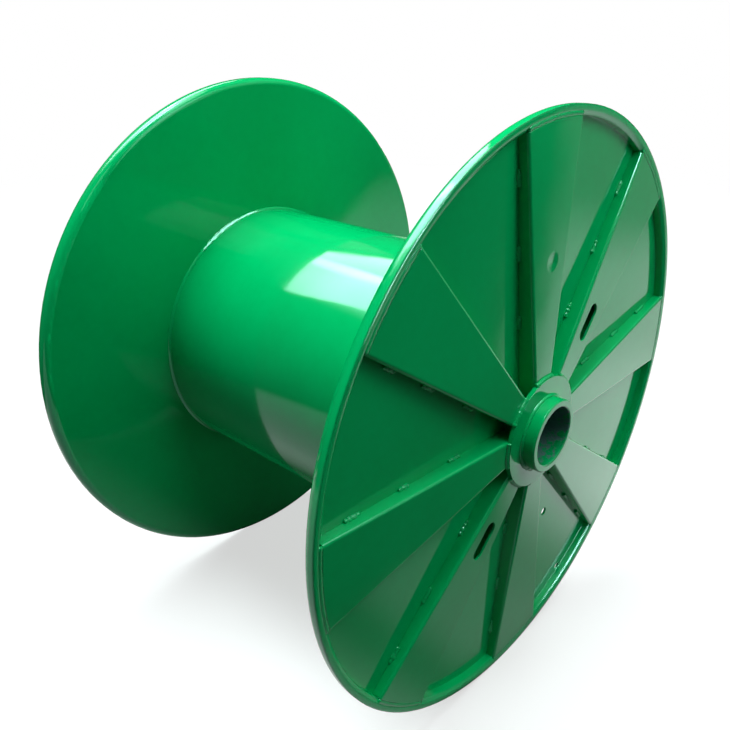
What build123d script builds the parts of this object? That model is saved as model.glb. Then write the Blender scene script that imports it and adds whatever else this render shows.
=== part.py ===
"""Welded steel wire bobbin: a rolled barrel between two round flanges on a bored axle tube.

The axis lies along Y and the origin is the middle of the bobbin, so the flange rims rest on a
level floor at z = -flange_diameter / 2. The near flange is at -Y. Angles are measured about Y,
from +X towards +Z, and "out" means along the axis away from the winding space. Millimetres.
"""
import os
from math import cos, radians, sin

from build123d import *

# Winding space
flange_diameter = 800.0
barrel_diameter = 402.0
barrel_wall = 3.0
inside_width = 506.0

# Flange: one sheet, spun over into a thick rim with a sloped shoulder inside its lip
sheet_thickness = 3.5
rim_height = 16.5
rim_width = 12.5
rim_crest_width = 7.0
rim_shoulder_drop = 3.5
rim_shoulder_radius = 1.0
rim_outer_radius = 10.0
rim_lip_radius = 4.0

# Axle tube and the hub plates that are welded round it
bore_diameter = 80.0
tube_wall = 10.0
tube_end_beyond_flange = 49.0
tube_end_chamfer = 1.5
hub_plate_diameter = 152.0
hub_plate_thickness = 6.0
hub_plate_face_height = 31.0

# Stiffeners: tapered channels folded from sheet, higher and narrower at the hub
stiffener_count = 8
stiffener_first_angle = 3.5
stiffener_thickness = 3.0
stiffener_bend_radius = 4.0
stiffener_width_at_rim = 116.0
stiffener_width_at_hub = 40.0
stiffener_height_at_rim = 13.0
stiffener_height_at_hub = 23.4

# Drive slots through the tops of two opposite stiffeners
drive_slot_count = 2
drive_slot_length = 54.0
drive_slot_width = 21.0
drive_slot_radius = 160.0

# Holes that hold the ends of the wire, in one recess of each flange
wire_hole_diameter = 13.0
wire_hole_rim_margin = 7.0
wire_hole_barrel_margin = 10.5
wire_hole_recess = 7

# Root gap of every welded joint
weld_gap = 0.2

# Sizes that follow
flange_radius = flange_diameter / 2
tube_diameter = bore_diameter + 2 * tube_wall
tube_half_length = inside_width / 2 + tube_end_beyond_flange
flange_hole_radius = tube_diameter / 2 + weld_gap
rim_inside_radius = flange_radius - rim_width
rim_crest_radius = flange_radius - rim_crest_width
stiffener_end_radius = rim_inside_radius - weld_gap
hub_plate_radius = hub_plate_diameter / 2
hub_plate_foot = hub_plate_face_height - hub_plate_thickness - sheet_thickness
stiffener_pitch = 360 / stiffener_count
stiffener_reach = stiffener_end_radius - hub_plate_radius
stiffener_blank_start = tube_diameter / 4
stiffener_blank_end = flange_radius
drive_slot_step = stiffener_count // drive_slot_count
width_slope = (stiffener_width_at_rim - stiffener_width_at_hub) / stiffener_reach
height_slope = (stiffener_height_at_rim - stiffener_height_at_hub) / stiffener_reach

os.makedirs("parts", exist_ok=True)


def outer_plane(side, height, angle=0.0):
    """Plane square to the axis, a height out from a flange's inner face, x along an angle."""
    turn = radians(angle)
    return Plane(
        origin=(0, side * (inside_width / 2 + height), 0),
        x_dir=(cos(turn), 0, sin(turn)),
        z_dir=(0, side, 0),
    )


def stiffener_width(radius):
    """Full width of a stiffener at a distance from the axis."""
    return stiffener_width_at_hub + width_slope * (radius - hub_plate_radius)


def stiffener_height(radius):
    """Height of a stiffener's top above the flange sheet at a distance from the axis."""
    return stiffener_height_at_hub + height_slope * (radius - hub_plate_radius)


def save(builder, name):
    """Label a finished piece and write its file."""
    builder.part.label = name
    export_step(builder.part, f"parts/{name}.step")


def make_barrel():
    """Rolled and seam welded sheet, its ends on the two flange sheets."""
    with BuildPart() as barrel:
        with BuildSketch(Plane.XZ):
            Circle(barrel_diameter / 2)
            Circle(barrel_diameter / 2 - barrel_wall, mode=Mode.SUBTRACT)
        extrude(amount=inside_width / 2, both=True)
    return barrel


def make_axle_tube():
    """Thick tube right through the bobbin, its bore chamfered at both mouths."""
    with BuildPart() as tube:
        with BuildSketch(Plane.XZ):
            Circle(tube_diameter / 2)
            Circle(bore_diameter / 2, mode=Mode.SUBTRACT)
        extrude(amount=tube_half_length, both=True)
        end_edges = tube.edges().filter_by(GeomType.CIRCLE)
        chamfer(end_edges, length=tube_end_chamfer)
    return tube


def make_flange(side):
    """Sheet disc with its spun rim, turned about the axis, and the two wire holes."""
    inner_face = side * inside_width / 2
    outer_face = side * (inside_width / 2 + sheet_thickness)
    lip = side * (inside_width / 2 + rim_height)
    shoulder = side * (inside_width / 2 + rim_height - rim_shoulder_drop)
    with BuildPart() as flange:
        with BuildSketch():
            with BuildLine():
                Polyline(
                    (flange_hole_radius, inner_face),
                    (flange_radius, inner_face),
                    (flange_radius, lip),
                    (rim_crest_radius, lip),
                    (rim_inside_radius, shoulder),
                    (rim_inside_radius, outer_face),
                    (flange_hole_radius, outer_face),
                    close=True,
                )
            make_face()
            by_height = vertices().group_by(lambda corner: abs(corner.Y))
            rim_corner = by_height[0].sort_by(Axis.X)[-1]
            shoulder_corner = by_height[-2]
            lip_corner = by_height[-1].sort_by(Axis.X)[-1]
            fillet(rim_corner, radius=rim_outer_radius)
            fillet(shoulder_corner, radius=rim_shoulder_radius)
            fillet(lip_corner, radius=rim_lip_radius)
        revolve(axis=Axis.Y)
        inner_hole = barrel_diameter / 2 + wire_hole_barrel_margin
        outer_hole = rim_inside_radius - wire_hole_rim_margin
        # both holes lie on the middle line of their recess
        hole_angle = stiffener_first_angle + (wire_hole_recess - 0.5) * stiffener_pitch
        with BuildSketch(outer_plane(side, 0, hole_angle)):
            with Locations((inner_hole, 0), (outer_hole, 0)):
                Circle(wire_hole_diameter / 2)
        extrude(amount=sheet_thickness, mode=Mode.SUBTRACT)
    return flange


def make_hub_plate(side):
    """Round plate on the axle tube that the stiffeners' inner ends are welded to."""
    with BuildPart() as plate:
        with BuildSketch(outer_plane(side, sheet_thickness + hub_plate_foot)):
            Circle(hub_plate_radius)
            Circle(flange_hole_radius, mode=Mode.SUBTRACT)
        extrude(amount=hub_plate_thickness)
    return plate


def plan_corners(inset):
    """Corners of a stiffener's blank in plan, set in at its two long sides."""
    start_half = stiffener_width(stiffener_blank_start) / 2 - inset
    end_half = stiffener_width(stiffener_blank_end) / 2 - inset
    return [
        (stiffener_blank_start, -start_half),
        (stiffener_blank_end, -end_half),
        (stiffener_blank_end, end_half),
        (stiffener_blank_start, start_half),
    ]


def side_corners(inset):
    """Corners of a stiffener's blank seen from the side, set in at its top."""
    return [
        (stiffener_blank_start, 0),
        (stiffener_blank_end, 0),
        (stiffener_blank_end, stiffener_height(stiffener_blank_end) - inset),
        (stiffener_blank_start, stiffener_height(stiffener_blank_start) - inset),
    ]


def tapered_block(foot, inset):
    """Solid that tapers in plan and in height, round along its top, set in from the blank."""
    with BuildPart() as block:
        with BuildSketch(foot):
            with BuildLine():
                Polyline(*plan_corners(inset), close=True)
            make_face()
        extrude(amount=stiffener_height(stiffener_blank_start))
        with BuildSketch(Plane(foot.origin, x_dir=foot.x_dir, z_dir=-foot.y_dir)):
            with BuildLine():
                Polyline(*side_corners(inset), close=True)
            make_face()
        extrude(amount=stiffener_width(stiffener_blank_end), both=True, mode=Mode.INTERSECT)
        top_face = block.faces().sort_by(Axis(foot.origin, foot.z_dir))[-1]
        long_edges = top_face.edges().sort_by(SortBy.LENGTH)[-2:]
        fillet(long_edges, radius=stiffener_bend_radius - inset)
    return block


def make_stiffener(side, number):
    """Folded channel that tapers both ways, trimmed to the rim, the hub plate and the tube."""
    angle = stiffener_first_angle + (number - 1) * stiffener_pitch
    foot = outer_plane(side, sheet_thickness, angle)
    outer_form = tapered_block(foot, 0)
    inner_form = tapered_block(foot, stiffener_thickness)
    with BuildPart() as stiffener:
        # folded sheet: the outer form less the inner one, both open at the foot and the ends
        add(outer_form.part)
        add(inner_form.part, mode=Mode.SUBTRACT)
        # outer end cut to the curve of the rim, inner end to the axle tube
        with BuildSketch(foot):
            Circle(stiffener_end_radius)
        extrude(amount=hub_plate_face_height, mode=Mode.INTERSECT)
        with BuildSketch(foot):
            Circle(flange_hole_radius)
        extrude(amount=hub_plate_face_height, mode=Mode.SUBTRACT)
        # the walls pass under the hub plate and the top stops at its edge
        with BuildSketch(foot.offset(hub_plate_foot)):
            Circle(hub_plate_radius + weld_gap)
        extrude(amount=hub_plate_face_height, mode=Mode.SUBTRACT)
        with BuildSketch(foot):
            with BuildLine():
                Polyline(*plan_corners(stiffener_thickness), close=True)
            make_face()
            Circle(hub_plate_radius + weld_gap, mode=Mode.INTERSECT)
        extrude(amount=hub_plate_face_height, mode=Mode.SUBTRACT)
        # one slot halfway through each run of stiffeners, so stiffeners 2 and 6 of eight
        if number % drive_slot_step == drive_slot_step // 2:
            with BuildSketch(foot):
                with Locations((drive_slot_radius, 0)):
                    SlotOverall(drive_slot_length, drive_slot_width)
            extrude(amount=hub_plate_face_height, mode=Mode.SUBTRACT)
    return stiffener


save(make_barrel(), "barrel")
save(make_axle_tube(), "axle_tube")
for side, end in ((-1, "near"), (1, "far")):
    save(make_flange(side), f"flange_{end}")
    save(make_hub_plate(side), f"hub_plate_{end}")
    for number in range(1, stiffener_count + 1):
        save(make_stiffener(side, number), f"stiffener_{end}_{number}")
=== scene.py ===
"""Welded steel wire bobbin in glossy green enamel, dressed for the photograph's view.

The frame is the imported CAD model, in metres. The axis lies along Y, the near flange is at -Y, +X is
right and +Z is up as seen from the near end, and the floor is at the foot of the rims. Angles are
measured about Y, from +X towards +Z. "Out" means along the axis, away from the winding space.
"""
from math import ceil, cos, degrees, radians, sin, sqrt, tau
from typing import NamedTuple

import bmesh
import bpy
from mathutils import Matrix, Vector, noise


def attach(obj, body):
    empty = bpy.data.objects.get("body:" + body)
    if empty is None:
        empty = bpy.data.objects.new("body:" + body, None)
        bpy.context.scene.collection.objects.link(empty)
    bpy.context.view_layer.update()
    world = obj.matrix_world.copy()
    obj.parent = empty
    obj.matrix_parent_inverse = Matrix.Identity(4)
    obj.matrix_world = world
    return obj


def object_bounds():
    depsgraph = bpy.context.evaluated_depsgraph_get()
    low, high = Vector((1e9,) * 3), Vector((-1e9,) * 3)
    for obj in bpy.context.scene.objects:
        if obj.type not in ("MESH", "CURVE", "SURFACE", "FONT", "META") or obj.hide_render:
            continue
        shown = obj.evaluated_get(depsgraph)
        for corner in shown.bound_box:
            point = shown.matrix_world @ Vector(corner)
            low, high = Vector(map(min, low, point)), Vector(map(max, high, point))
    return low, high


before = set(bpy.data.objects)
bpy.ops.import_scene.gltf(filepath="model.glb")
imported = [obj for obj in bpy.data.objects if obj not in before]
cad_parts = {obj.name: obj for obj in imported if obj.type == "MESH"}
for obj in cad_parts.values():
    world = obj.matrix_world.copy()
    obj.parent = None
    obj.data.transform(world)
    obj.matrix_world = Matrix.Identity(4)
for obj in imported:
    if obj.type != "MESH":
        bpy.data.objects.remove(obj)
cad_low, cad_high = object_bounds()
scene = bpy.context.scene
scene.view_settings.view_transform = "Standard"

# Sizes of the CAD model that the welds follow, in metres and degrees
INNER_FACE = 0.253
SHEET_FACE = 0.2565
LIP_FACE = 0.2695
HUB_PLATE_FACE = 0.284
BARREL_RADIUS = 0.201
TUBE_RADIUS = 0.050
HUB_PLATE_RADIUS = 0.076
STIFFENER_END_RADIUS = 0.3873
STIFFENER_REACH = STIFFENER_END_RADIUS - HUB_PLATE_RADIUS
STIFFENER_HALF_WIDTH_AT_HUB = 0.020
STIFFENER_HALF_WIDTH_AT_RIM = 0.058
STIFFENER_HALF_SPREAD = STIFFENER_HALF_WIDTH_AT_RIM - STIFFENER_HALF_WIDTH_AT_HUB
STIFFENER_HEIGHT_AT_HUB = 0.0234
STIFFENER_FIRST_ANGLE = 3.5
STIFFENER_PITCH = 45.0
STIFFENERS = 8
FLOOR_HEIGHT = cad_low.z

UP = Vector((0, 0, 1))


def ring_point(radius, angle, depth):
    """Point at a radius and an angle in degrees, at a place along the axis."""
    return Vector((radius * cos(radians(angle)), depth, radius * sin(radians(angle))))


def radial(angle):
    """Unit vector away from the axis at an angle in degrees."""
    return Vector((cos(radians(angle)), 0, sin(radians(angle))))


def tangent(angle):
    """Unit vector round the axis at an angle in degrees."""
    return Vector((-sin(radians(angle)), 0, cos(radians(angle))))


# ---------------------------------------------------------------- welds


class BeadKind(NamedTuple):
    """Size of one kind of bead in metres, and how uneven it is as a share of that size."""

    width: float
    crown: float
    step: float
    ripple: float
    wobble: float


# Side of a fillet weld, and the width of its face for each unit of its side
LEG = 0.0036
BARREL_LEG = 0.0040
FILLET_FACE = 1.41
STITCH_FACE = 1.1

BARREL_BEAD = BeadKind(BARREL_LEG * FILLET_FACE, 0.00012, 0.0011, 0.0046, 0.09)
TUBE_BEAD = BeadKind(LEG * FILLET_FACE, 0.0006, 0.0011, 0.0040, 0.24)
STITCH_BEAD = BeadKind(LEG * STITCH_FACE, 0.0006, 0.0006, 0.0047, 0.34)
RIM_BEAD = BeadKind(0.0068, 0.0004, 0.0008, 0.0046, 0.30)
HUB_PLATE_BEAD = BeadKind(LEG * FILLET_FACE, 0.0007, 0.0007, 0.0040, 0.34)

# Lumps where a bead was started, stopped or laid twice: the share of the bead's length, the
# reach to each side in metres and the growth
BARREL_LUMPS_NEAR = ((0.07, 0.007, 0.6), (0.58, 0.009, 0.7), (0.61, 0.005, 0.5))
BARREL_LUMPS_FAR = (
    (0.318, 0.004, 0.9), (0.332, 0.006, 1.0), (0.341, 0.004, 0.6), (0.300, 0.070, 0.35),
)
TUBE_LUMPS_NEAR = ((0.60, 0.004, 0.7), (0.62, 0.006, 1.1), (0.655, 0.006, 0.8), (0.69, 0.007, 1.2))
TUBE_LUMPS_FAR = ((0.22, 0.006, 0.6), (0.25, 0.006, 1.0))
HUB_PLATE_LUMPS = ((0.03, 0.0035, 0.6), (0.97, 0.0035, 0.5))

# Each stitch from one distance to another from the axis, and how far chance moves and grows it
STITCHES = ((0.147, 0.168), (0.238, 0.260), (0.319, 0.342))
STITCH_SHIFT = 0.006
STITCH_GROWTH = 0.004
# The first drop of a stitch and the limit of the last, as shares of its length
STITCH_DROPS = (0.12, 0.95)
# A drop's reach, its growth and the distance to the next: the mean, and how far chance moves it
DROP_REACH = (0.0030, 0.0012)
DROP_GROWTH = (0.55, 0.9)
DROP_STEP = (0.0052, 0.003)

# The beads in the rim's shoulder, and how far short of the corners the short beads stop
RIM_BEAD_RADIUS = 0.3899
RIM_BEAD_DEPTH = LIP_FACE - 0.0001
RIM_BEAD_MARGIN = 0.15
HUB_PLATE_BEAD_MARGIN = 0.6


def path_length(path, samples=64):
    """Length of a bead's path, added up over straight runs."""
    length = 0.0
    last = path(0.0)[0]
    for i in range(1, samples + 1):
        here = path(i / samples)[0]
        length += (here - last).length
        last = here
    return length


def lump_growths(lumps, share, length, closed):
    """How much each lump adds to a bead's size at a share of its length."""
    for place, reach, growth in lumps:
        gap = abs(share - place)
        if closed:
            gap = min(gap, 1 - gap)
        yield growth * max(0.0, 1 - (gap * length / reach) ** 2)


class Beads:
    """Weld beads gathered into one mesh. A bead is a strip swept along its stations."""

    CROWN_SPANS = 8
    FEWEST_STATIONS = 8
    # Shares of the bead's width: how long its rounded end is, how far its sides dip into the
    # sheet, how deep its hidden foot goes and how far it strays from its path
    END_LENGTH = 0.55
    SIDE_DIP = 0.12
    FOOT_DEPTH = 0.42
    DRIFT = 0.12
    # Lumps to the metre in the slow, the quick and the sideways unevenness
    SLOW, QUICK, SIDEWAYS = 90, 260, 60

    def __init__(self, name):
        self.name = name
        self.points = []
        self.faces = []

    def add(self, path, kind, seed, closed=False, lumps=()):
        """Sweeps a bead along path(share), which gives the middle of the bead, the unit vector
        across it and the unit vector out of it, for a share from 0 to 1 of its length."""
        length = path_length(path)
        count = max(self.FEWEST_STATIONS, ceil(length / kind.step))
        rows = []
        for i in range(count + (0 if closed else 1)):
            share = i / count
            along = share * length
            if closed:
                sample = Vector((cos(tau * share), sin(tau * share), seed * 3.7)) * (length / tau)
            else:
                sample = Vector((along, seed * 3.7, seed * 1.3))
            # uneven flow of the metal, slow and quick, and the ripples that it froze in
            slow = noise.noise(sample * self.SLOW)
            quick = noise.noise(sample * self.QUICK)
            beat = sin(along / kind.ripple * tau + 2.5 * slow)
            size = 1 + kind.wobble * (slow + 0.5 * quick + 0.25 * beat)
            height = 1 + kind.wobble * (0.9 * quick + 0.6 * beat)
            for growth in lump_growths(lumps, share, length, closed):
                size += growth
                height += growth
            sideways = noise.noise(sample * self.SIDEWAYS + Vector((7, 3, 1)))
            # an open bead shrinks to a rounded end
            from_end = min(along, length - along)
            end_length = kind.width * self.END_LENGTH
            if not closed and from_end < end_length:
                shrink = sqrt(max(0.0, 1 - (1 - from_end / end_length) ** 2))
                size *= 0.25 + 0.75 * shrink
                height *= shrink
            half = kind.width / 2 * size
            drift = self.DRIFT * kind.wobble * sideways
            rows.append(self.section(path(share), kind, half, drift, kind.crown * height))
        self.join_rows(rows, closed)

    def section(self, station, kind, half, drift, crown):
        """Points round the bead at one station: over its crown, then its foot in the metal."""
        middle, across, out = station
        row = []
        for k in range(self.CROWN_SPANS + 1):
            t = 2 * k / self.CROWN_SPANS - 1
            lift = crown * (1 - t * t) - self.SIDE_DIP * kind.width * abs(t) ** 5
            row.append(middle + across * (half * t + drift * kind.width) + out * lift)
        row.append(middle + across * (half * 0.5) - out * kind.width * self.FOOT_DEPTH)
        row.append(middle - across * (half * 0.5) - out * kind.width * self.FOOT_DEPTH)
        return row

    def join_rows(self, rows, closed):
        """Faces between the rows of points, and a cap at each end of a bead that isn't a ring."""
        base = len(self.points)
        ring = len(rows[0])
        for row in rows:
            self.points.extend(row)
        spans = len(rows) if closed else len(rows) - 1
        for i in range(spans):
            a = base + i * ring
            b = base + ((i + 1) % len(rows)) * ring
            for k in range(ring):
                m = (k + 1) % ring
                self.faces.append((a + k, a + m, b + m, b + k))
        if not closed:
            self.faces.append(tuple(base + k for k in reversed(range(ring))))
            self.faces.append(tuple(base + (len(rows) - 1) * ring + k for k in range(ring)))

    def make(self, material):
        """The beads as one smooth-shaded object that rides on the bobbin."""
        mesh = bpy.data.meshes.new(self.name)
        mesh.from_pydata([tuple(p) for p in self.points], [], self.faces)
        mesh.polygons.foreach_set("use_smooth", [True] * len(mesh.polygons))
        shape = bmesh.new()
        shape.from_mesh(mesh)
        bmesh.ops.recalc_face_normals(shape, faces=shape.faces)
        shape.to_mesh(mesh)
        shape.free()
        piece = bpy.data.objects.new(self.name, mesh)
        scene.collection.objects.link(piece)
        mesh.materials.append(material)
        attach(piece, "root")
        return piece


def fillet_frame(root, first, second, leg):
    """Middle, across and out vectors of a fillet weld between two faces that meet at root."""
    middle = root + (first + second) * (leg / 2)
    return middle, (second - first).normalized(), (first + second).normalized()


def ring_path(radius, depth, facing, leg):
    """Path of a fillet weld once round the axis, on a face that looks along the axis."""
    def path(share):
        angle = 360 * share
        root = ring_point(radius, angle, depth)
        return fillet_frame(root, radial(angle), Vector((0, facing, 0)), leg)
    return path


def wall_path(side, hand, angle, low, high):
    """Path at the foot of a stiffener's wall, from one distance to another from the axis."""
    along, cross = radial(angle), tangent(angle)
    away = (cross * hand - along * (STIFFENER_HALF_SPREAD / STIFFENER_REACH)).normalized()

    def path(share):
        radius = low + share * (high - low)
        root = along * radius + cross * (hand * stiffener_half_width(radius))
        root.y = side * SHEET_FACE
        return fillet_frame(root, away, Vector((0, side, 0)), LEG)
    return path


def shoulder_path(side, middle_angle, half_angle):
    """Path of a bead that lies in the rim's shoulder."""
    def path(share):
        angle = middle_angle + half_angle * (2 * share - 1)
        middle = ring_point(RIM_BEAD_RADIUS, angle, side * RIM_BEAD_DEPTH)
        return middle, radial(angle), Vector((0, side, 0))
    return path


def hub_plate_path(side, middle_angle, half_angle):
    """Path of a fillet weld along the edge of a hub plate."""
    depth = side * (SHEET_FACE + STIFFENER_HEIGHT_AT_HUB)

    def path(share):
        angle = middle_angle + half_angle * (2 * share - 1)
        root = ring_point(HUB_PLATE_RADIUS, angle, depth)
        return fillet_frame(root, radial(angle), Vector((0, side, 0)), LEG)
    return path


def stiffener_angle(number):
    """Angle of a stiffener's middle line, for a number from 0."""
    return STIFFENER_FIRST_ANGLE + number * STIFFENER_PITCH


def stiffener_half_width(radius):
    """Half the width of a stiffener at a distance from the axis, along its middle line."""
    share = (radius - HUB_PLATE_RADIUS) / STIFFENER_REACH
    return STIFFENER_HALF_WIDTH_AT_HUB + share * STIFFENER_HALF_SPREAD


def barrel_welds(beads):
    """Ring round each end of the barrel, against the flange."""
    for side, seed, lumps in ((-1, 1, BARREL_LUMPS_NEAR), (1, 2, BARREL_LUMPS_FAR)):
        path = ring_path(BARREL_RADIUS, side * INNER_FACE, -side, BARREL_LEG)
        beads.add(path, BARREL_BEAD, seed, closed=True, lumps=lumps)


def tube_welds(beads):
    """Ring round the tube where it stands out of each hub plate."""
    for side, seed, lumps in ((-1, 11, TUBE_LUMPS_NEAR), (1, 12, TUBE_LUMPS_FAR)):
        path = ring_path(TUBE_RADIUS, side * HUB_PLATE_FACE, side, LEG)
        beads.add(path, TUBE_BEAD, seed, closed=True, lumps=lumps)


def stitch_drops(seed, length):
    """Drops that overlap in a stitch, as lumps along its length."""
    drops = []
    place, last = STITCH_DROPS
    while place < last:
        dice = noise.noise(Vector((seed * 3.1, place * 9, 5.5)))
        reach, growth, step = (
            mean + spread * dice for mean, spread in (DROP_REACH, DROP_GROWTH, DROP_STEP)
        )
        drops.append((place, reach, growth))
        place += step / length
    return drops


def stitch_welds(beads, side):
    """Three short welds at the foot of each wall of each stiffener."""
    for number in range(STIFFENERS):
        for hand in (-1, 1):
            for place, (start, end) in enumerate(STITCHES):
                seed = 20 + 7 * number + 3 * place + (hand + 1) + 60 * (side + 1)
                shift = STITCH_SHIFT * noise.noise(Vector((seed * 1.7, 0.3, 2.1)))
                growth = STITCH_GROWTH * noise.noise(Vector((seed * 2.3, 4.3, 0.7)))
                low, high = start + shift - growth, end + shift + growth
                path = wall_path(side, hand, stiffener_angle(number), low, high)
                beads.add(path, STITCH_BEAD, seed, lumps=stitch_drops(seed, high - low))


def rim_welds(beads, side):
    """Bead that fills the rim's shoulder at the outer end of each stiffener."""
    half = degrees(STIFFENER_HALF_WIDTH_AT_RIM / STIFFENER_END_RADIUS) - RIM_BEAD_MARGIN
    for number in range(STIFFENERS):
        path = shoulder_path(side, stiffener_angle(number), half)
        beads.add(path, RIM_BEAD, 200 + number + 30 * (side + 1))


def hub_plate_welds(beads, side):
    """Bead between the top of each stiffener and the edge of the hub plate."""
    half = degrees(STIFFENER_HALF_WIDTH_AT_HUB / HUB_PLATE_RADIUS) - HUB_PLATE_BEAD_MARGIN
    for number in range(STIFFENERS):
        path = hub_plate_path(side, stiffener_angle(number), half)
        beads.add(path, HUB_PLATE_BEAD, 300 + number + 30 * (side + 1), lumps=HUB_PLATE_LUMPS)


# ---------------------------------------------------------------- nodes


class Shade:
    """Node tree of a material or of the world, filled by short calls. A value is a number, a
    colour, a vector or another node's output."""

    def __init__(self, owner):
        owner.use_nodes = True
        self.nodes, self.links = owner.node_tree.nodes, owner.node_tree.links
        self.nodes.clear()

    def give(self, socket, value):
        """Gives an input its value."""
        if isinstance(value, bpy.types.NodeSocket):
            self.links.new(value, socket)
        else:
            socket.default_value = value

    def node(self, kind, values=None):
        """New node, with a value for each input that is named or numbered."""
        made = self.nodes.new(f"ShaderNode{kind}")
        for key, value in (values or {}).items():
            self.give(made.inputs[key], value)
        return made

    def maths(self, operation, *values, kind="Math"):
        """Result of one sum on values, or on vectors where the kind is VectorMath."""
        made = self.node(kind)
        made.operation = operation
        for socket, value in zip(made.inputs, values):
            self.give(socket, value)
        return made.outputs["Value"]

    def times(self, first, second):
        """Product of two values."""
        return self.maths("MULTIPLY", first, second)

    def plus(self, first, second):
        """Sum of two values."""
        return self.maths("ADD", first, second)

    def ramp(self, value, low, high, to_low=0.0, to_high=1.0, kind="SMOOTHSTEP"):
        """Step of a value between two limits, from one level to another."""
        made = self.node("MapRange")
        made.interpolation_type = kind
        limits = {"From Min": low, "From Max": high, "To Min": to_low, "To Max": to_high}
        for key, given in limits.items():
            self.give(made.inputs[key], given)
        self.give(made.inputs["Value"], value)
        return made.outputs["Result"]

    def clouds(self, place, scale, detail, roughness):
        """Noise from 0 to 1."""
        values = {"Vector": place, "Scale": scale, "Detail": detail, "Roughness": roughness}
        return self.node("TexNoise", values).outputs["Fac"]

    def mix_colours(self, share, first, second):
        """First colour where the share is 0, second where it is 1."""
        made = self.node("Mix")
        made.data_type = "RGBA"
        for key, value in (("Factor", share), ("A", first), ("B", second)):
            self.give(made.inputs[key], value)
        return made.outputs["Result"]

    def bump(self, height, distance, normal):
        """Normal of a surface with a height on it."""
        values = {"Strength": 1.0, "Distance": distance, "Height": height, "Normal": normal}
        return self.node("Bump", values).outputs["Normal"]

    def emission(self, colour, strength):
        """Glow of a colour."""
        return self.node("Emission", {"Color": colour, "Strength": strength}).outputs["Emission"]

    def background(self, colour, strength):
        """Light of a colour from the world."""
        values = {"Color": colour, "Strength": strength}
        return self.node("Background", values).outputs["Background"]

    def mix_shaders(self, share, first, second):
        """First shader where the share is 0, second where it is 1."""
        return self.node("MixShader", {0: share, 1: first, 2: second}).outputs["Shader"]

    def patches(self, values, table, rest):
        """Light in soft patches on top of an even rest. Each patch is its strength and its ramps,
        and each ramp the name of its value, its two limits and its level at each."""
        total = rest
        for strength, ramps in table:
            patch = strength
            for name, *limits in ramps:
                patch = self.times(self.ramp(values[name], *limits), patch)
            total = self.plus(patch, total)
        return total


# ---------------------------------------------------------------- paint

LIGHT_GREEN = (0.0, 0.43, 0.119, 1)
DARK_GREEN = (0.0, 0.37, 0.098, 1)
# painted shade for deep in the bore and its upper wall, dark and bluish
BORE_SHADE_GREEN = (0.09, 0.22, 0.20, 1)
REFLECTION_TINT = (0.55, 1.0, 0.95, 1)

# Patterns in the paint: lumps to the metre, detail and roughness
DRIFT = (5.0, 2.0, 0.5)
MOTTLE = (70.0, 3.0, 0.6)
SMEARS = (22.0, 3.0, 0.55)
WAVES = (9.0, 1.0, 0.4)
ORANGE_PEEL = (420.0, 2.0, 0.5)
SPLASHES = (120.0, 5.0, 0.7)

# How much the mottle counts beside the drift, and their sums that give each green
MOTTLE_WEIGHT = 0.35
GREEN_LIMITS = (0.45, 0.92)
# Smears from clean to dull, and the roughness at each as a share of the paint's own
SMEAR_LIMITS = (0.3, 0.7)
SMEAR_LEVELS = (0.8, 1.3)

# Ramps in the bore: its wall by the distance from the axis, painted light that grows at the
# mouths and on the lower wall, and where painted shade shows for want of it
BORE_WALL = (0.0405, 0.0415, 1.0, 0.0)
MOUTH_LIGHT = (0.265, 0.301, 0.0, 0.18)
LOWER_WALL_LIGHT = (-0.038, 0.0, 0.10, 0.0)
BORE_SHADE_LIMITS = (0.66, 0.74, 1.0, 0.0)
# Height of the splashes, for each unit of the orange peel
SPLASH_HEIGHT = 120.0

# The rim's lip by the distance from the axis and from the middle, and how round edges look
# elsewhere and there
LIP_RADII = (0.3855, 0.3875)
LIP_DEPTHS = (0.2600, 0.2635)
EDGE_RADII = (0.0007, 0.0045)
EDGE_SAMPLES = 6

# Knock in the top of stiffener 3
DENT_PLACE = (-0.0085, -0.2748, 0.228)
DENT_RADIUS = 0.013
DENT_DEPTH = 0.0010


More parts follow.
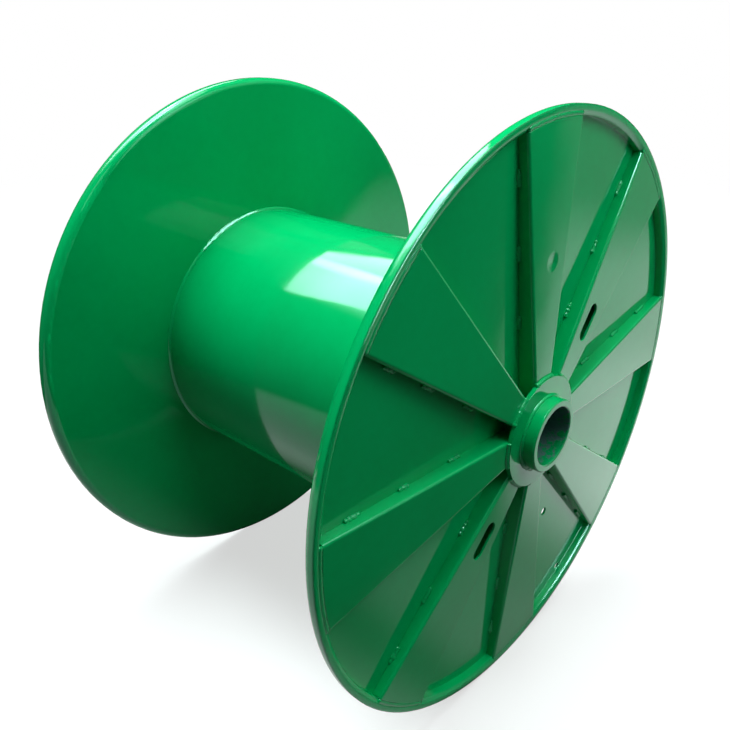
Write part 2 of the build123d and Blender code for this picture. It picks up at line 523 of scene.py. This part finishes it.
def enamel(name, roughness, peel, dents, bore_shade=None):
    """Glossy enamel: two greens that drift, orange peel and slow waves in the sheet. Peel and
    dents are their depths. The last colour, where given, is painted shade in the bore."""
    material = bpy.data.materials.new(name)
    shade = Shade(material)
    place = shade.node("TexCoord").outputs["Object"]
    parts = shade.node("SeparateXYZ", {0: place}).outputs
    squares = [shade.times(parts[axis], parts[axis]) for axis in "XZ"]
    from_axis = shade.maths("POWER", shade.plus(*squares), 0.5)
    from_middle = shade.maths("ABSOLUTE", parts["Y"])

    drift = shade.clouds(place, *DRIFT)
    mottled = shade.maths("MULTIPLY_ADD", shade.clouds(place, *MOTTLE), MOTTLE_WEIGHT, drift)
    lightness = shade.ramp(mottled, *GREEN_LIMITS, kind="LINEAR")
    colour = shade.mix_colours(lightness, DARK_GREEN, LIGHT_GREEN)
    relief = shade.clouds(place, *ORANGE_PEEL)
    if bore_shade:
        # painted shade in the bore, lightened near the mouths and on the lower wall
        splash = shade.clouds(place, *SPLASHES)
        in_bore = shade.ramp(from_axis, *BORE_WALL)
        lit_at_mouths = shade.ramp(from_middle, *MOUTH_LIGHT)
        painted_light = shade.plus(lit_at_mouths, shade.ramp(parts["Z"], *LOWER_WALL_LIGHT))
        painted_shade = shade.ramp(shade.plus(splash, painted_light), *BORE_SHADE_LIMITS)
        colour = shade.mix_colours(shade.times(painted_shade, in_bore), colour, bore_shade)
        lumpy = shade.times(splash, in_bore)
        relief = shade.maths("MULTIPLY_ADD", lumpy, SPLASH_HEIGHT, relief)

    clean, dull = (roughness * level for level in SMEAR_LEVELS)
    gloss = shade.ramp(shade.clouds(place, *SMEARS), *SMEAR_LIMITS, clean, dull, kind="LINEAR")

    # the rim's lip is rolled round, other edges are only eased by the paint
    lip = shade.times(shade.ramp(from_axis, *LIP_RADII), shade.ramp(from_middle, *LIP_DEPTHS))
    edge = shade.node("Bevel", {"Radius": shade.ramp(lip, 0.0, 1.0, *EDGE_RADII)})
    edge.samples = EDGE_SAMPLES
    from_knock = shade.maths("DISTANCE", place, DENT_PLACE, kind="VectorMath")
    hollow = shade.ramp(from_knock, 0.0, DENT_RADIUS, -DENT_DEPTH / dents, 0.0)
    uneven = shade.plus(shade.clouds(place, *WAVES), hollow)
    normal = shade.bump(relief, peel, shade.bump(uneven, dents, edge.outputs["Normal"]))

    shader = shade.node("BsdfPrincipled", {
        "Base Color": colour,
        "Roughness": gloss,
        "Normal": normal,
        "Specular IOR Level": 0.5,
        "IOR": 1.5,
        "Specular Tint": REFLECTION_TINT,
    })
    shade.node("OutputMaterial", {"Surface": shader.outputs["BSDF"]})
    return material


sheet_paint = enamel("enamel_sheet", roughness=0.07, peel=0.000006, dents=0.0008)
weld_paint = enamel("enamel_weld", roughness=0.09, peel=0.00004, dents=0.0003)
# the tube's bore gets painted shade
tube_paint = enamel("enamel_tube", roughness=0.10, peel=0.00001, dents=0.0003, bore_shade=BORE_SHADE_GREEN)

for name, cad_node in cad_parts.items():
    paint = tube_paint if name == "axle_tube" else sheet_paint
    for material_slot in cad_node.material_slots:
        material_slot.material = paint

ring_beads = Beads("weld_rings")
barrel_welds(ring_beads)
tube_welds(ring_beads)
ring_welds = ring_beads.make(weld_paint)
short_welds = {}
for side, end in ((-1, "near"), (1, "far")):
    stitches = Beads(f"weld_stitches_{end}")
    stitch_welds(stitches, side)
    edges = Beads(f"weld_ends_{end}")
    rim_welds(edges, side)
    hub_plate_welds(edges, side)
    short_welds[end] = [stitches.make(weld_paint), edges.make(weld_paint)]


# ---------------------------------------------------------------- camera

CAMERA_PLACE = Vector((-0.7774, -0.6757, 0.4871))
CAMERA_RIGHT = Vector((0.6787, -0.7344, 0.0)).normalized()
CAMERA_FORWARD = Vector((0.6584, 0.6084, -0.4431)).normalized()
CAMERA_UP = CAMERA_RIGHT.cross(CAMERA_FORWARD).normalized()

camera = bpy.data.objects.new("camera", bpy.data.cameras.new("camera"))
scene.collection.objects.link(camera)
facing = Matrix((CAMERA_RIGHT, CAMERA_UP, -CAMERA_FORWARD)).transposed()
camera.matrix_world = Matrix.Translation(CAMERA_PLACE) @ facing.to_4x4()
camera.data.sensor_width = 36.0
camera.data.lens = 36.66
camera.data.shift_x = 0.0106
camera.data.shift_y = 0.0219
camera.data.clip_start = 0.01
scene.camera = camera


# ---------------------------------------------------------------- studio

WHITE = (1, 1, 1, 1)
FLOOR_TINT = (0.95, 1.0, 0.97, 1)
LIGHT_TINT = (0.9, 1.0, 1.0, 1)

FLOOR_REACH = 30.0
# Direction across the edge of the lit floor, in X and Y
FLOOR_SLANT = (0.468, 0.884)
FLOOR_PATCHES = (
    # lit floor to the right, bounded by a line that runs away to the front right
    (1.62, (
        ("slant", -0.35, -0.25, 0.0, 1.0),
        ("x", 0.12, 0.55, 0.0, 1.0),
        ("x", 0.9, 1.5, 1.0, 0.68),
        ("x", 1.7, 3.2, 1.0, 0.3),
    )),
    # softer light on the left, up to the wall behind
    (0.80, (
        ("x", -0.32, -0.08, 1.0, 0.0),
        ("y", -0.55, -0.45, 0.0, 1.0),
        ("y", 0.82, 1.12, 1.0, 0.0),
    )),
    # dim strip where the near flange touches the floor
    (0.34, (
        ("x", -0.15, 0.0, 0.0, 1.0),
        ("x", 0.1, 0.3, 1.0, 0.0),
        ("y", -0.56, -0.46, 0.0, 1.0),
        ("y", -0.30, -0.22, 1.0, 0.0),
    )),
)
FLOOR_REST = 0.03
# How much less the floor lights diffusely than it shows in reflections
FLOOR_DIFFUSE_LOSS = -0.83
# The floor that the camera sees, which takes a soft shadow near the bobbin and none far off
FLOOR_GREY = (0.30, 0.30, 0.30, 1)
FLOOR_GLOW = 0.62
FLOOR_NEAR, FLOOR_FAR = 1.0, 4.0
PALE = 1.0

# The window's place, and its edges: across from its middle and above the origin
WINDOW_AZIMUTH = 168.0
WINDOW_DISTANCE = 3.0
WINDOW_LEFT, WINDOW_RIGHT = -2.1, 1.85
WINDOW_LOW, WINDOW_HIGH = 1.9, 6.5
SILL = ("height", 2.68, 2.84, 0.0, 1.0)
WINDOW_PATCHES = (
    # right part, left part that brightens upwards, bright band between them, strip under the sill
    (9.0, (("across", 0.30, 0.50, 0.0, 1.0), SILL)),
    (1.0, (("across", 0.30, 0.50, 1.0, 0.0), ("height", 2.7, 3.9, 3.5, 14.0), SILL)),
    (7.0, (("across", -0.35, 0.05, 0.0, 1.0), ("across", 0.20, 0.50, 1.0, 0.0), SILL)),
    (0.35, (("height", 2.4, 2.6, 1.0, 0.0),)),
)

SKY_PATCHES = (
    # azimuth, elevation, inner and outer half angle, radiance
    (0, 90, 3, 14, 21.9),
    (180, 60, 8, 24, 4.9),
    (180, 75, 8, 24, 9.3),
    (60, 45, 10, 28, 0.45),
)
SKY_REST = 0.03

SOFT_BOX_AIM = Vector((0.1, 0, 0.2))
SOFT_BOXES = (
    # name, place, side, watts
    ("box_top", (0.1, 0.0, 1.6), 0.6, 4.84),
    ("box_over", (0.15, -0.38, 1.5), 0.35, 1.46),
    ("box_high", (0.0, -1.2, 2.0), 1.0, 4.98),
    ("box_middle", (0.2, -0.9, 0.9), 0.6, 2.75),
    ("box_near", (0.3, -0.7, 1.0), 0.5, 0.93),
    ("box_left", (-1.1, -0.45, 1.6), 0.5, 1.25),
    ("box_right", (1.2, -1.6, 1.2), 0.8, 1.1),
    ("box_right_high", (1.6, -1.4, 1.8), 0.9, 1.25),
    ("box_right_low", (1.0, -2.2, 0.5), 1.0, 2.9),
    ("box_front_low", (0.0, -2.5, 0.3), 1.0, 1.2),
)

rim_pieces = [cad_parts["flange_near"]]
front_pieces = [
    cad_node for name, cad_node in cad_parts.items() if name == "axle_tube" or "near" in name
] + short_welds["near"]
GLINTS = (
    # name, pieces that it lights, place, aimed at, half width, half height, radiance
    ("glint_left", front_pieces, (-0.29, -1.21, 1.46), (0.20, -0.28, 0.25), 0.16, 0.16, 60.0),
    ("glint_low", rim_pieces, (0.476, -1.72, 0.295), (0.22, -0.27, -0.33), 0.20, 0.43, 60.0),
    ("glint_over", [ring_welds], (0.20, -0.48, 1.59), (-0.07, 0.25, 0.19), 0.80, 0.16, 20.0),
)


def direction(azimuth, elevation=0.0):
    """Unit vector in the studio. Azimuth 0 is toward -Y and 90 toward +X."""
    flat = cos(radians(elevation))
    turn = radians(azimuth)
    return Vector((sin(turn) * flat, -cos(turn) * flat, sin(radians(elevation))))


def studio_plane(name, middle, along, up, material):
    """Flat sheet of the studio, from its middle and its two half sides."""
    corners = [middle - along - up, middle + along - up, middle + along + up, middle - along + up]
    mesh = bpy.data.meshes.new(name)
    mesh.from_pydata(corners, [], [(0, 1, 2, 3)])
    mesh.update()
    mesh.materials.append(material)
    made = bpy.data.objects.new(name, mesh)
    scene.collection.objects.link(made)
    return made


def studio_floor():
    """Pale floor. The object sees it as the patches of light and shade that lie on it."""
    material = bpy.data.materials.new("pale_floor")
    shade = Shade(material)
    place = shade.node("TexCoord").outputs["Object"]
    parts = shade.node("SeparateXYZ", {0: place}).outputs
    ray = shade.node("LightPath").outputs
    slant_x, slant_y = FLOOR_SLANT
    values = {
        "x": parts["X"],
        "y": parts["Y"],
        "slant": shade.plus(shade.times(parts["X"], slant_x), shade.times(parts["Y"], slant_y)),
    }
    light = shade.patches(values, FLOOR_PATCHES, FLOOR_REST)
    less = shade.plus(shade.times(ray["Is Diffuse Ray"], FLOOR_DIFFUSE_LOSS), 1.0)
    reflected = shade.emission(FLOOR_TINT, shade.times(light, less))

    # what the camera sees: even and pale, with a soft shadow under the bobbin
    shaded = shade.node("BsdfDiffuse", {"Color": FLOOR_GREY}).outputs["BSDF"]
    near_floor = shade.node("AddShader", {0: shaded, 1: shade.emission(WHITE, FLOOR_GLOW)})
    away = shade.maths("LENGTH", place, kind="VectorMath")
    seen = shade.mix_shaders(
        shade.ramp(away, FLOOR_NEAR, FLOOR_FAR),
        near_floor.outputs["Shader"],
        shade.emission(WHITE, PALE),
    )
    surface = shade.mix_shaders(ray["Is Camera Ray"], reflected, seen)
    shade.node("OutputMaterial", {"Surface": surface})

    middle = Vector((0, 0, FLOOR_HEIGHT))
    along, up = Vector((FLOOR_REACH, 0, 0)), Vector((0, FLOOR_REACH, 0))
    studio_plane("floor", middle, along, up, material)


def window_light():
    """Large window behind the bobbin, brightest in a band left of its middle."""
    toward = direction(WINDOW_AZIMUTH)
    side = toward.cross(UP)
    material = bpy.data.materials.new("window_glow")
    shade = Shade(material)
    place = shade.node("TexCoord").outputs["Object"]
    values = {
        "across": shade.maths("DOT_PRODUCT", place, side, kind="VectorMath"),
        "height": shade.node("SeparateXYZ", {0: place}).outputs["Z"],
    }
    glow = shade.emission(LIGHT_TINT, shade.patches(values, WINDOW_PATCHES, 0.0))
    shade.node("OutputMaterial", {"Surface": glow})

    across_middle = side * ((WINDOW_LEFT + WINDOW_RIGHT) / 2)
    middle = toward * WINDOW_DISTANCE + across_middle + UP * ((WINDOW_LOW + WINDOW_HIGH) / 2)
    along = side * ((WINDOW_RIGHT - WINDOW_LEFT) / 2)
    up = UP * ((WINDOW_HIGH - WINDOW_LOW) / 2)
    card = studio_plane("window", middle, along, up, material)
    card.visible_camera = False
    card.visible_diffuse = False


def glints():
    """Bright cards that show only as lines of light along the bends and the weld beads."""
    for name, lit_pieces, place, aim, half_width, half_height, radiance in GLINTS:
        material = bpy.data.materials.new(name)
        shade = Shade(material)
        shade.node("OutputMaterial", {"Surface": shade.emission(LIGHT_TINT, radiance)})
        middle = Vector(place)
        toward = (Vector(aim) - middle).normalized()
        along = UP.cross(toward).normalized()
        up = toward.cross(along)
        card = studio_plane(name, middle, along * half_width, up * half_height, material)
        card.visible_camera = False
        card.visible_diffuse = False
        card.visible_shadow = False
        lit = bpy.data.collections.new(name)
        for piece in lit_pieces:
            lit.objects.link(piece)
        card.light_linking.receiver_collection = lit


def soft_boxes():
    """Small square lights round the bobbin, aimed at its upper half."""
    for name, place, side, watts in SOFT_BOXES:
        light = bpy.data.lights.new(name, "AREA")
        light.size = side
        light.energy = watts
        box = bpy.data.objects.new(name, light)
        scene.collection.objects.link(box)
        box.location = place
        box.rotation_mode = "QUATERNION"
        box.rotation_quaternion = (SOFT_BOX_AIM - Vector(place)).to_track_quat("-Z", "Y")


def sky():
    """Soft light from overhead and from the front, dark near the horizon, pale to the camera."""
    world = bpy.data.worlds.new("studio")
    scene.world = world
    shade = Shade(world)
    place = shade.node("TexCoord").outputs["Generated"]
    total = SKY_REST
    for azimuth, elevation, inner, outer, radiance in SKY_PATCHES:
        centre = direction(azimuth, elevation)
        nearness = shade.maths("DOT_PRODUCT", place, centre, kind="VectorMath")
        low, high = cos(radians(outer)), cos(radians(inner))
        total = shade.plus(shade.ramp(nearness, low, high, 0.0, radiance), total)
    ray = shade.node("LightPath").outputs
    above, seen = shade.background(LIGHT_TINT, total), shade.background(WHITE, PALE)
    surface = shade.mix_shaders(ray["Is Camera Ray"], above, seen)
    shade.node("OutputWorld", {"Surface": surface})


studio_floor()
window_light()
glints()
soft_boxes()
sky()
